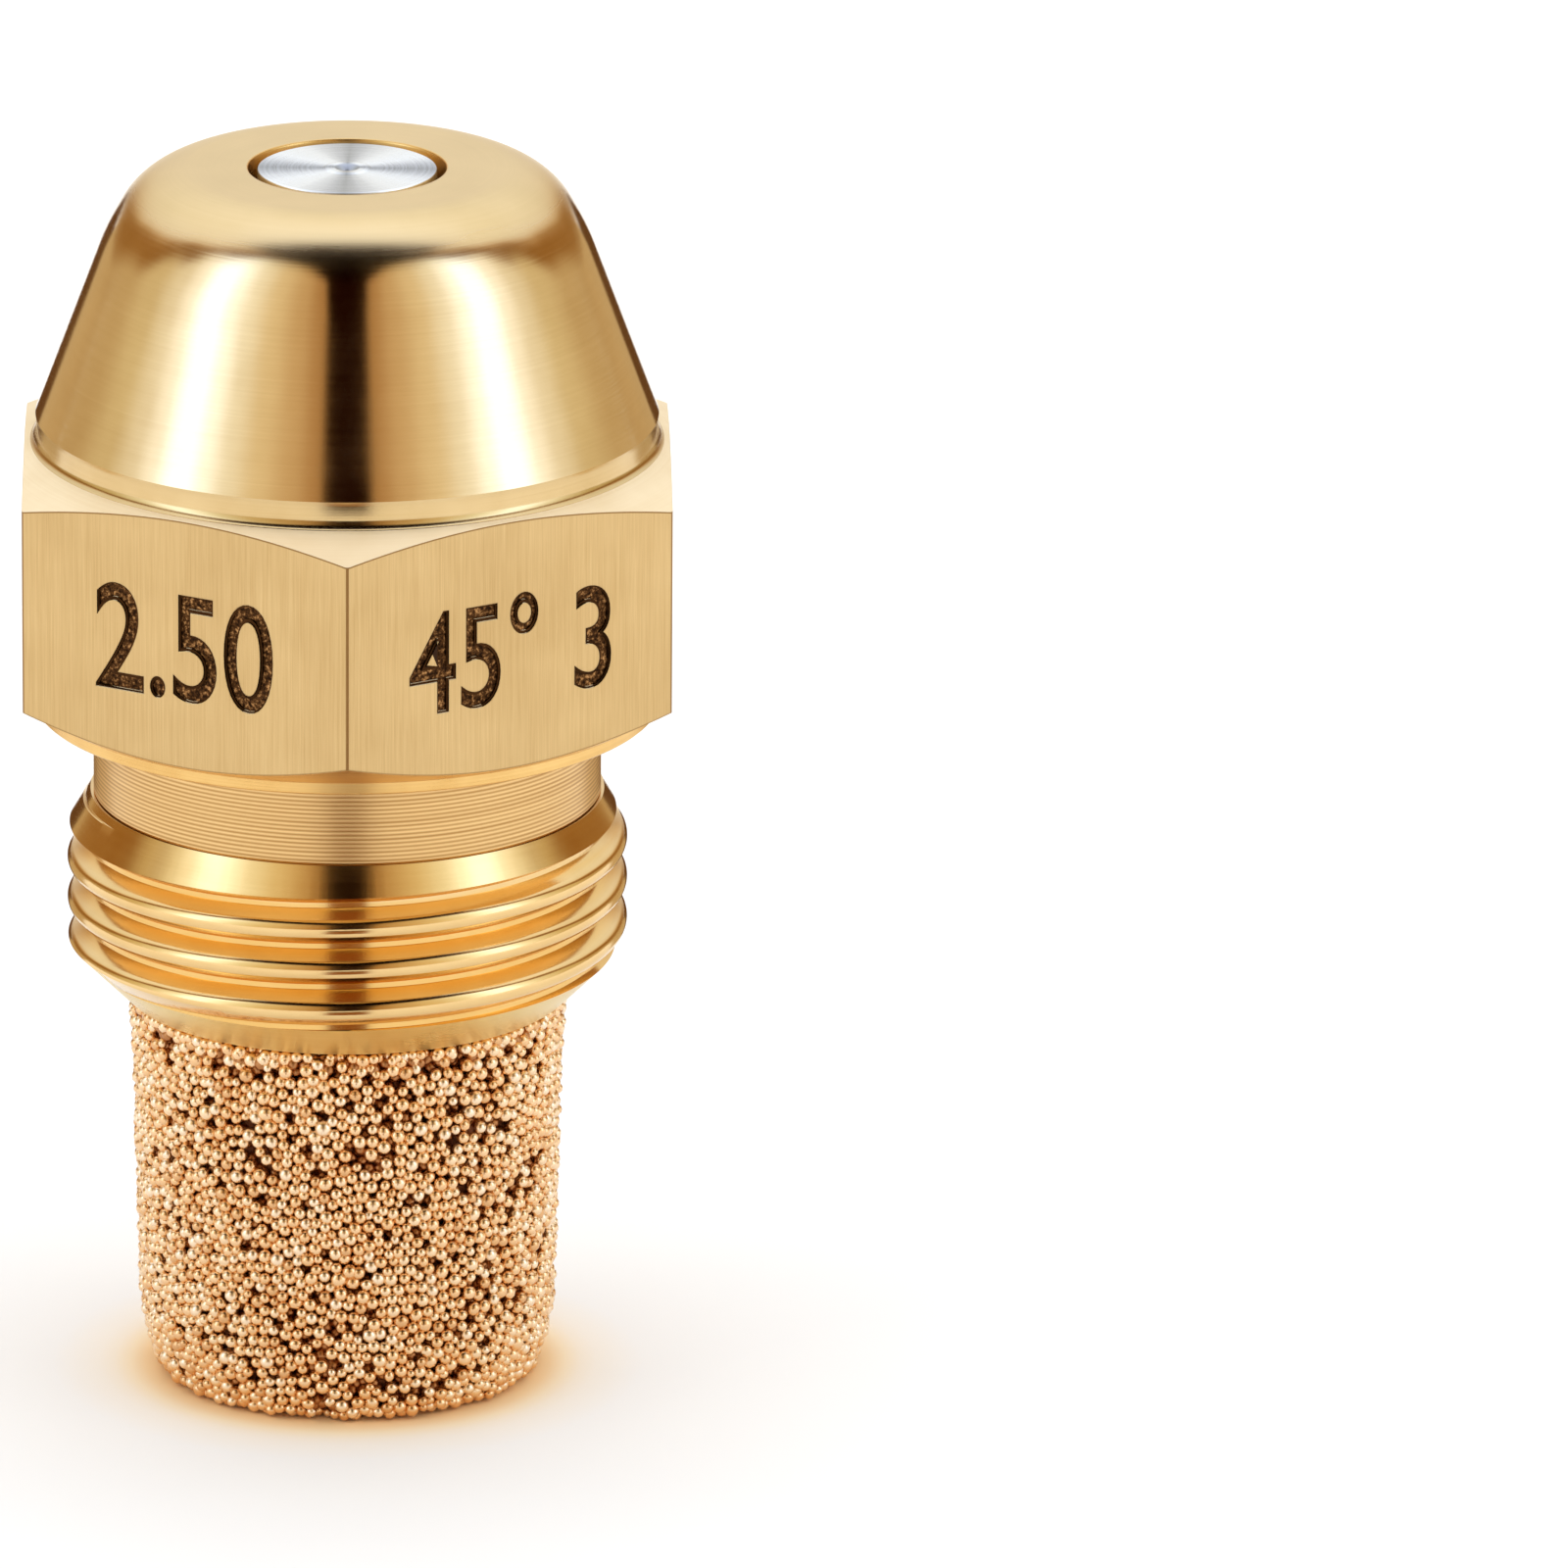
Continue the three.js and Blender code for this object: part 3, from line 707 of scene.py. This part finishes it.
def build_ferrule():
    ferrule = lathe("filter_ferrule_fine", [
        (3.65, 7.0), (4.02, 7.0), (4.17, 7.15), (4.17, 9.965), (4.84, 10.25), (4.85, 10.29),
        *grooves(4.85, 10.35, 11.95, 0.09, 0.008), (4.85, 12.0), (4.7, 12.15), (4.7, 12.9), (4.85, 13.05),
        *grooves(4.85, 13.1, 13.75, 0.09, 0.008), (4.85, 13.8), (4.55, 14.26), (4.5, 14.3), (3.68, 14.3), (3.65, 14.27),
    ], 240)
    shade(ferrule, 30)
    dress(ferrule, collar)
    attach(ferrule, "filter")
    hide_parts("filter_ferrule")


build_disc()
build_distributor()
build_screw()
build_ferrule()


# ---------------------------------------------------------------- sintered filter
# Outer skin of the filter, from the axis at the closed end to the inner edge of the rim.
SKIN = np.array([
    (0.0, 0.0), (4.55, 0.0), (4.74, 0.10), (4.87, 0.34), (4.99, 0.75), (5.09, 1.2), (5.19, 1.65), (5.27, 4.5), (5.34, 7.2),
    (5.39, 8.6), (5.47, 9.55), (5.44, 9.88), (5.36, 9.95), (4.24, 9.95),
])


def skin_at(s):
    """Point and outward normal in the (r, z) plane, at arc length s along the skin."""
    seg = np.diff(SKIN, axis=0)
    lengths = np.hypot(seg[:, 0], seg[:, 1])
    ends = np.concatenate([[0], np.cumsum(lengths)])
    r = np.interp(s, ends, SKIN[:, 0])
    z = np.interp(s, ends, SKIN[:, 1])
    h = 0.12
    dr = np.interp(s + h, ends, SKIN[:, 0]) - np.interp(s - h, ends, SKIN[:, 0])
    dz = np.interp(s + h, ends, SKIN[:, 1]) - np.interp(s - h, ends, SKIN[:, 1])
    size = np.maximum(np.hypot(dr, dz), 1e-9)
    return r, z, dz / size, -dr / size, ends[-1]


def spread_beads(spacing, inset, seed, fullness, missing):
    """Bead centres over the skin and their radii. Neighbours are pushed apart, then some small beads are left out."""
    rng = np.random.default_rng(seed)
    total = skin_at(np.zeros(1))[4]
    s = np.linspace(0, total, 4000)
    r = skin_at(s)[0]
    weight = np.cumsum(r)
    area = 2 * math.pi * np.trapz(r, s)
    count = int(area / (spacing ** 2 * 0.866) * 0.97)
    s = np.interp(rng.random(count) * weight[-1], weight, s)
    angle = rng.random(count) * 2 * math.pi
    size = np.clip(rng.normal(1.0, 0.14, count), 0.66, 1.36)
    for _ in range(22):
        r, z, nr, nz, _t = skin_at(s)
        pos = np.stack([r * np.cos(angle), r * np.sin(angle), z], axis=1)
        tree = KDTree(count)
        for i, p in enumerate(pos):
            tree.insert(p, i)
        tree.balance()
        push = np.zeros((count, 3))
        for i, p in enumerate(pos):
            for _co, j, d in tree.find_range(p, spacing * 1.25):
                if j == i or d < 1e-9:
                    continue
                want = spacing * 0.52 * (size[i] + size[j])
                if d < want:
                    push[i] += (p - pos[j]) / d * (want - d) * 0.42
        tangent_s = push[:, 0] * np.cos(angle) * -nz + push[:, 1] * np.sin(angle) * -nz + push[:, 2] * nr
        tangent_a = -push[:, 0] * np.sin(angle) + push[:, 1] * np.cos(angle)
        s = np.clip(s + tangent_s, 0, total)
        angle = angle + tangent_a / np.maximum(r, 0.25)
    # The gaps are single beads, never two side by side, and mostly the small ones.
    stay = np.ones(count, dtype=bool)
    for i in np.argsort(size + rng.normal(0, 0.12, count)):
        if stay.sum() <= count * (1 - missing):
            break
        stay[i] = not all(stay[j] for _co, j, _d in tree.find_range(pos[i], spacing * 1.3))
    s, angle, size, count = s[stay], angle[stay], size[stay], int(stay.sum())
    r, z, nr, nz, _t = skin_at(s)
    depth = inset + size * spacing * 0.5 + np.clip(rng.normal(0, 0.04, count), -0.05, 0.09)
    r, z = r - nr * depth, z - nz * depth
    return np.stack([r * np.cos(angle), r * np.sin(angle), z], axis=1), size * spacing * fullness


def bead_mesh(name, centres, radii, material_of, materials):
    bm = bmesh.new()
    bmesh.ops.create_icosphere(bm, subdivisions=2, radius=1)
    ball = np.array([v.co for v in bm.verts])
    tris = np.array([[v.index for v in f.verts] for f in bm.faces])
    bm.free()
    n, nv, nf = len(centres), len(ball), len(tris)
    # Each bead is turned at random, and is slightly out of round.
    q = RNG.normal(size=(n, 4))
    q /= np.linalg.norm(q, axis=1)[:, None]
    w, x, y, zq = q.T
    rot = np.stack([
        1 - 2 * (y * y + zq * zq), 2 * (x * y - zq * w), 2 * (x * zq + y * w),
        2 * (x * y + zq * w), 1 - 2 * (x * x + zq * zq), 2 * (y * zq - x * w),
        2 * (x * zq - y * w), 2 * (y * zq + x * w), 1 - 2 * (x * x + y * y),
    ], axis=1).reshape(n, 3, 3)
    shape = radii[:, None] * RNG.uniform(0.92, 1.08, (n, 3))
    verts = np.einsum("nij,vj->nvi", rot * shape[:, None, :], ball) + centres[:, None, :]
    loops = (tris[None] + (np.arange(n) * nv)[:, None, None]).reshape(-1)
    mesh = bpy.data.meshes.new(name)
    mesh.vertices.add(n * nv)
    mesh.vertices.foreach_set("co", (verts.reshape(-1) * MM).astype(np.float32))
    mesh.loops.add(len(loops))
    mesh.loops.foreach_set("vertex_index", loops.astype(np.int32))
    mesh.polygons.add(n * nf)
    mesh.polygons.foreach_set("loop_start", np.arange(0, len(loops), 3, dtype=np.int32))
    mesh.polygons.foreach_set("use_smooth", np.ones(n * nf, dtype=bool))
    for m in materials:
        mesh.materials.append(m)
    mesh.polygons.foreach_set("material_index", np.repeat(material_of, nf).astype(np.int32))
    mesh.update(calc_edges=True)
    mesh.validate()
    obj = bpy.data.objects.new(name, mesh)
    bpy.context.collection.objects.link(obj)
    return obj


def build_filter():
    tones = [
        bead_metal("bronze_bead_a", (0.93, 0.62, 0.345), 0.24),
        bead_metal("bronze_bead_b", (0.95, 0.69, 0.43), 0.26),
        bead_metal("bronze_bead_c", (0.88, 0.55, 0.28), 0.24),
        bead_metal("bronze_bead_d", (0.98, 0.76, 0.53), 0.28),
        bead_metal("bronze_bead_e", (0.78, 0.45, 0.21), 0.26),
        # The deep layer's dark bronze is painted shade in the pores between the outer beads.
        bead_metal("bronze_bead_deep", (0.46, 0.20, 0.075), 0.30),
    ]
    # The core is dark brown as painted shade, where it shows between the beads.
    core_tone = turned_metal("bronze_pores", (0.20, 0.055, 0.018), (0.36, 0.13, 0.045), (0.55, 0.7), 0.01, 6.0, metallic=0.7)
    core = lathe("filter_core", [
        (0, 0.42), (4.3, 0.42), (4.55, 0.75), (4.72, 1.65), (4.85, 6.0), (4.95, 9.45), (4.9, 9.58), (4.25, 9.58), (4.2, 9.5),
        (4.2, 1.85), (3.7, 1.35), (0, 1.35),
    ], 128)
    shade(core)
    dress(core, core_tone)
    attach(core, "filter")
    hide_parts("sintered_filter")
    outer, outer_r = spread_beads(0.31, 0.0, 5, 0.535, 0.08)
    deep, deep_r = spread_beads(0.32, 0.26, 6, 0.53, 0.06)
    centres = np.concatenate([outer, deep])
    radii = np.concatenate([outer_r, deep_r])
    layer = np.repeat([0, 1], [len(outer), len(deep)])
    keep = np.hypot(centres[:, 0], centres[:, 1]) + radii < 5.5
    keep &= (centres[:, 2] > 9.4) <= (np.hypot(centres[:, 0], centres[:, 1]) - radii > 4.19)
    centres, radii = centres[keep], radii[keep]
    centres[:, 2] = np.maximum(centres[:, 2], radii * 1.08 + 0.001)
    centres[:, 2] = np.minimum(centres[:, 2], 9.955 - radii * 1.08)
    # Beads of the deep layer take the dark tone, as painted shade.
    tone = np.where(layer[keep] == 0, RNG.choice(5, len(centres), p=[0.3, 0.27, 0.2, 0.15, 0.08]), 5)
    order = np.argsort(centres[:, 2], kind="stable")
    pieces = np.array_split(order, math.ceil(len(order) / 2400))
    for i, part in enumerate(pieces):
        beads = bead_mesh(f"filter_beads_{i + 1}", centres[part], radii[part], tone[part], tones)
        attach(beads, "filter")
    print("beads", len(order), "pieces", len(pieces))


build_filter()


# ---------------------------------------------------------------- studio
# What polished metal mirrors of the studio wall, by the angle round from the camera's side in degrees:
# brown beside the gap in front, a bright softbox on each side, and a paler wall behind.
WALL = [
    (0, (0.50, 0.30, 0.13)), (14, (0.60, 0.40, 0.20)), (22, (0.72, 0.54, 0.30)), (35, (0.90, 0.79, 0.53)),
    (47, (1.08, 1.12, 1.02)), (56, (1.45, 1.68, 1.9)), (63, (1.85, 2.25, 2.95)), (69, (1.80, 2.2, 2.85)),
    (78, (1.30, 1.42, 1.48)), (87, (1.0, 1.0, 0.86)), (100, (0.80, 0.71, 0.45)), (120, (0.64, 0.50, 0.27)),
    (148, (0.58, 0.43, 0.22)), (158, (0.72, 0.62, 0.42)), (167, (0.86, 0.83, 0.72)), (180, (0.92, 0.90, 0.84)),
]
# How high the wall stands by the same angle, in degrees, and the colour of the dark rail along its top.
WALL_TOP = [(0, 45), (14, 46), (25, 50), (50, 50), (77, 40), (95, 27), (117, 11), (142, 1), (180, -4)]
RAIL = [
    (0, (0.06, 0.025, 0.007)), (50, (0.12, 0.05, 0.015)), (90, (0.30, 0.15, 0.04)), (117, (0.36, 0.18, 0.045)),
    (150, (0.38, 0.20, 0.06)), (172, (0.85, 0.80, 0.70)), (180, (0.92, 0.90, 0.84)),
]
# The amber light between the rail and the ceiling, by the same angle.
AMBER = [
    (0, (0.62, 0.35, 0.12)), (90, (0.70, 0.45, 0.18)), (150, (0.72, 0.52, 0.26)), (172, (0.88, 0.84, 0.75)),
    (180, (0.92, 0.90, 0.84)),
]
# The pale ceiling over the rail, by height in degrees.
CEILING = [
    (16, (0.92, 0.90, 0.84)), (30, (1.02, 1.06, 1.06)), (50, (1.15, 1.2, 1.25)), (70, (1.34, 1.45, 1.70)),
    (90, (1.27, 1.40, 1.72)),
]
# The dark gap between the two front softboxes, by the sine of the angle to either side. It widens at their tops.
GAP = [
    (0.0, (0.02, 0.004, 0.001)), (0.13, (0.02, 0.004, 0.001)), (0.168, (0.9, 0.82, 0.70)), (0.30, (1.0, 1.0, 1.0)),
    (1.0, (1.0, 1.0, 1.0)),
]
PEAK = 5.0


def studio_world():
    world = bpy.data.worlds.new("studio")
    world.cycles.sampling_method = "NONE"
    world.use_nodes = True
    nt = world.node_tree
    nt.nodes.clear()
    link = nt.links.new

    def op(operation, a, b=0.0):
        node = nt.nodes.new("ShaderNodeMath")
        node.operation = operation
        for socket, value in zip(node.inputs, (a, b)):
            if isinstance(value, (int, float)):
                socket.default_value = value
            else:
                link(value, socket)
        return node.outputs[0]

    def band(fac, stops, low, high, peak=PEAK):
        node = nt.nodes.new("ShaderNodeValToRGB")
        node.color_ramp.interpolation = "EASE"
        el = node.color_ramp.elements
        while len(el) < len(stops):
            el.new(0.5)
        for e, (at, value) in zip(el, stops):
            e.position = (at - low) / (high - low)
            e.color = (*(c / peak for c in value), 1)
        link(fac, node.inputs["Fac"])
        return node.outputs["Color"]

    coords = nt.nodes.new("ShaderNodeTexCoord")
    sep = nt.nodes.new("ShaderNodeSeparateXYZ")
    link(coords.outputs["Generated"], sep.inputs[0])
    x, y, z = sep.outputs
    around = op("DIVIDE", op("ABSOLUTE", op("ARCTAN2", x, op("MULTIPLY", y, -1.0))), math.pi)
    height = op("DIVIDE", op("ARCSINE", z), math.pi / 2)
    wall = band(around, WALL, 0, 180)

    def between(value, low, high):
        node = nt.nodes.new("ShaderNodeMapRange")
        node.interpolation_type = "SMOOTHSTEP"
        node.inputs["From Min"].default_value = low
        node.inputs["From Max"].default_value = high
        link(value, node.inputs["Value"])
        return node.outputs["Result"]

    def blend(fac, a, b, how="MIX"):
        node = nt.nodes.new("ShaderNodeMix")
        node.data_type = "RGBA"
        node.blend_type = how
        link(fac, node.inputs["Factor"])
        link(a, node.inputs[6])
        link(b, node.inputs[7])
        return node.outputs[2]

    tops = [(at, ((deg + 10) / 100,) * 3) for at, deg in WALL_TOP]
    wall_top = op("SUBTRACT", op("MULTIPLY", band(around, tops, 0, 180, 1.0), 100), 10)
    over = op("SUBTRACT", op("MULTIPLY", height, 90), wall_top)
    room = blend(between(over, -5, 4), wall, band(around, RAIL, 0, 180))
    pale_from = op("ADD", op("MULTIPLY", between(around, 60 / 180, 10 / 180), 15), 10)
    past_rail = op("SUBTRACT", over, pale_from)
    room = blend(between(past_rail, -2, 5), room, band(around, AMBER, 0, 180))
    room = blend(between(past_rail, 1, 10), room, band(height, CEILING, 0, 90))
    widening = op("MULTIPLY", between(height, 42 / 90, 66 / 90), 0.50)
    gap = band(op("SUBTRACT", op("ABSOLUTE", x), widening), GAP, 0, 1, 1.0)
    room = blend(between(y, -0.02, -0.12), room, gap, "MULTIPLY")

    mirrored = nt.nodes.new("ShaderNodeBackground")
    link(room, mirrored.inputs["Color"])
    mirrored.inputs["Strength"].default_value = PEAK
    fill = nt.nodes.new("ShaderNodeBackground")
    fill.inputs["Color"].default_value = (1, 1, 1, 1)
    fill.inputs["Strength"].default_value = 1.04
    path = nt.nodes.new("ShaderNodeLightPath")
    mix = nt.nodes.new("ShaderNodeMixShader")
    link(path.outputs["Is Glossy Ray"], mix.inputs["Fac"])
    link(fill.outputs[0], mix.inputs[1])
    link(mirrored.outputs[0], mix.inputs[2])
    out = nt.nodes.new("ShaderNodeOutputWorld")
    link(mix.outputs[0], out.inputs["Surface"])
    return world


def softbox(name, azimuth, elevation, distance, size, power, mirrored=False):
    light = bpy.data.lights.new(name, "AREA")
    light.shape = "RECTANGLE"
    light.size, light.size_y = size
    light.energy = power
    light.color = (1, 0.985, 0.96)
    obj = bpy.data.objects.new(name, light)
    bpy.context.collection.objects.link(obj)
    a, e = math.radians(azimuth), math.radians(elevation)
    middle = Vector((0, 0, 0.016))
    obj.location = Vector((math.sin(a) * math.cos(e), -math.cos(a) * math.cos(e), math.sin(e))) * distance + middle
    obj.rotation_euler = (middle - obj.location).to_track_quat("-Z", "Y").to_euler()
    obj.visible_camera = False
    obj.visible_glossy = mirrored


def flag(name, azimuth, half_angle, reach_mm, color, floor_z):
    """A dark card lying on the table, which only the metal mirrors: it draws the dark lines that polished brass shows."""
    near, far = reach_mm
    verts = []
    for distance, side in ((near, -1), (near, 1), (far, 1), (far, -1)):
        a = math.radians(azimuth + side * half_angle)
        verts.append((math.sin(a) * distance * MM, -math.cos(a) * distance * MM, floor_z + 0.0004))
    card = add_object(name, verts, [(0, 1, 2, 3)])
    n = Nodes(name, (0, 0, 0), 0.0, 1.0)
    n.bsdf.inputs["Specular IOR Level"].default_value = 0
    n.bsdf.inputs["Emission Color"].default_value = (*color, 1)
    n.bsdf.inputs["Emission Strength"].default_value = 1.0
    card.data.materials.append(n.mat)
    card.visible_camera = card.visible_diffuse = card.visible_shadow = False


def studio():
    scene = bpy.context.scene
    scene.view_settings.view_transform = "Standard"
    scene.view_settings.look = "None"
    scene.world = studio_world()
    softbox("left_softbox", -68, 28, 0.55, (0.34, 0.42), 0.45)
    softbox("right_softbox", 68, 28, 0.55, (0.34, 0.42), 0.45)
    softbox("top_softbox", 180, 70, 0.60, (0.55, 0.45), 0.8)

    floor = add_object("floor", [(-3, -3, 0), (3, -3, 0), (3, 3, 0), (-3, 3, 0)], [(0, 1, 2, 3)])
    floor.location.z = CAD_BOX[0][2] - 0.00002
    n = Nodes("floor_with_painted_glow", (0.88, 0.88, 0.88), 0.0, 0.5)
    n.bsdf.inputs["Specular IOR Level"].default_value = 0
    radius, _angle, _z = n.polar()
    # The filter never leaves its place, so the warm light and the contact shade that it throws on the table are painted
    # into the table's colour: a darker orange ring round its foot, then pale grey, and a painted brightening to whiter
    # far off.
    n.color(n.ramp(n.math("DIVIDE", radius, 100), [
        (0.049, (0.90, 0.62, 0.32)), (0.0535, (0.93, 0.78, 0.54)), (0.060, (0.90, 0.85, 0.77)),
        (0.074, (0.865, 0.865, 0.865)), (0.2, (0.86, 0.87, 0.885)), (1.0, (0.96, 0.96, 0.96)),
    ]))
    floor.data.materials.append(n.mat)

    flag("front_flag", 0, 8, (20, 46.5), (0.30, 0.12, 0.035), floor.location.z)
    flag("neck_flag", 0, 8, (46.5, 55), (0.42, 0.19, 0.06), floor.location.z)
    flag("hexagon_flag", 0, 8, (55, 85), (0.03, 0.012, 0.005), floor.location.z)
    for side in (-1, 1):
        flag("edge_flag", side * 159, 7, (30, 900), (0.14, 0.06, 0.018), floor.location.z)
        flag("gold_card", side * 141, 11, (30, 4300), (0.63, 0.47, 0.24), floor.location.z)


studio()

# ---------------------------------------------------------------- camera
CAM_DISTANCE, CAM_ELEVATION = 0.500, math.radians(18.0)
CAM_CENTRE_Z = 0.0152
CAM_FOCAL_PX = 20470.0  # focal length in pixels of the 1600 pixel frame
OFFSET_PX = 800 - 354.5  # how far left of the frame's middle the nozzle stands

camera_data = bpy.data.cameras.new("camera")
camera = bpy.data.objects.new("camera", camera_data)
bpy.context.collection.objects.link(camera)
camera_data.sensor_width = 36
camera_data.lens = CAM_FOCAL_PX / 1600 * 36
camera_data.clip_start, camera_data.clip_end = 0.01, 20
camera.location = (0, -CAM_DISTANCE * math.cos(CAM_ELEVATION), CAM_CENTRE_Z + CAM_DISTANCE * math.sin(CAM_ELEVATION))
yaw = math.atan(OFFSET_PX / CAM_FOCAL_PX)
aim = Vector((CAM_DISTANCE * math.tan(yaw), 0, CAM_CENTRE_Z))
look = (aim - camera.location).to_track_quat("-Z", "Y").to_matrix().to_4x4()
roll = Matrix.Rotation(yaw * math.sin(CAM_ELEVATION), 4, "Z")
camera.rotation_euler = (look @ roll).to_euler()
bpy.context.scene.camera = camera
